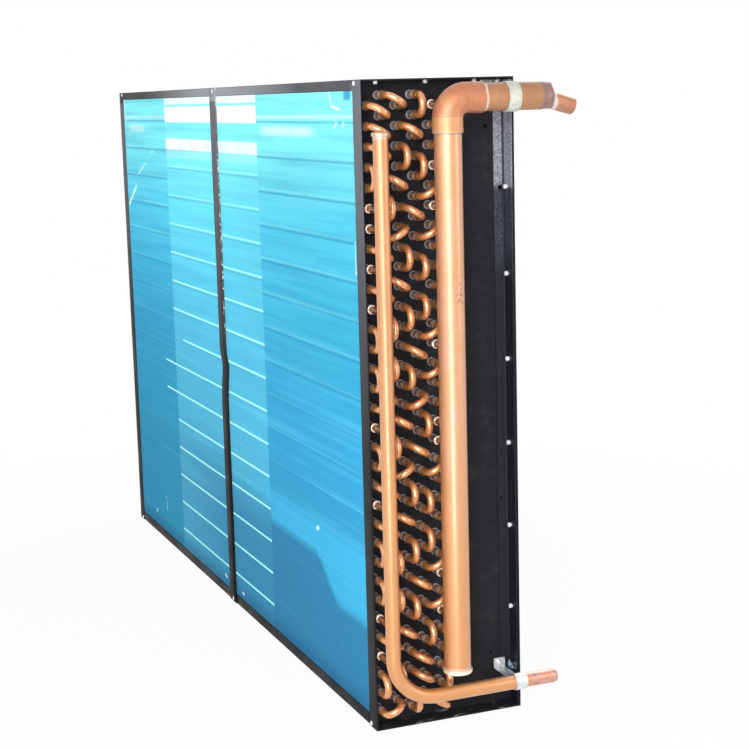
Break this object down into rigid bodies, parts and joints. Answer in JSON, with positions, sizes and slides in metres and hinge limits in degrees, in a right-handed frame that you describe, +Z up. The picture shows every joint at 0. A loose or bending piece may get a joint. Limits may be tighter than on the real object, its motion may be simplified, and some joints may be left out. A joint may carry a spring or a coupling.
{
  "type": "finned tube heat exchanger",
  "caption": "Finned tube refrigeration coil: staggered copper tubes through blue coated fins in a black sheet frame, with return bends, a gas header and a liquid header at one end.",
  "frame": {"origin": "centre of the frame's underside, the face that it stands on", "axes": "+X towards the header end, -Y out of the fin face that the air enters, +Z up"},
  "size_m": [1.3163, 0.2778, 0.843],
  "materials": {
    "black_powder_coat": "black powder coat on folded galvanised sheet",
    "grey_primer": "thin speckled grey coat on folded galvanised sheet",
    "coated_fins": "blue hydrophilic coat on thin aluminium fins",
    "copper": "drawn copper tube, orange, with brazing heat marks",
    "brazed_copper": "copper dulled purple and silver by the brazing torch",
    "zinc_plate": "zinc plated steel strap with a pale lining"
  },
  "bodies": {
    "root": {"header_end_plate": "black_powder_coat", "far_end_plate": "black_powder_coat", "top_plate": "black_powder_coat", "bottom_plate": "black_powder_coat", "centre_support": "black_powder_coat", "rear_edge_angle": "grey_primer", "fin_pack": "coated_fins", "circuit_1": "copper", "circuit_2": "copper", "circuit_3": "copper", "circuit_4": "copper", "circuit_5": "copper", "circuit_6": "copper", "circuit_7": "copper", "circuit_8": "copper", "inlet_stub_1": "copper", "inlet_stub_2": "copper", "inlet_stub_3": "copper", "inlet_stub_4": "copper", "inlet_stub_5": "copper", "inlet_stub_6": "copper", "inlet_stub_7": "copper", "inlet_stub_8": "copper", "outlet_stub_1": "copper", "outlet_stub_2": "copper", "outlet_stub_3": "copper", "outlet_stub_4": "copper", "outlet_stub_5": "copper", "outlet_stub_6": "copper", "outlet_stub_7": "copper", "outlet_stub_8": "copper", "gas_header": "copper", "gas_header_cap": "brazed_copper", "gas_elbow": "copper", "gas_outlet_pipe": "copper", "gas_reducer": "brazed_copper", "liquid_header": "copper", "liquid_header_cap": "brazed_copper", "gas_pipe_strap": "zinc_plate", "liquid_pipe_strap": "zinc_plate"}
  },
  "joints": []
}
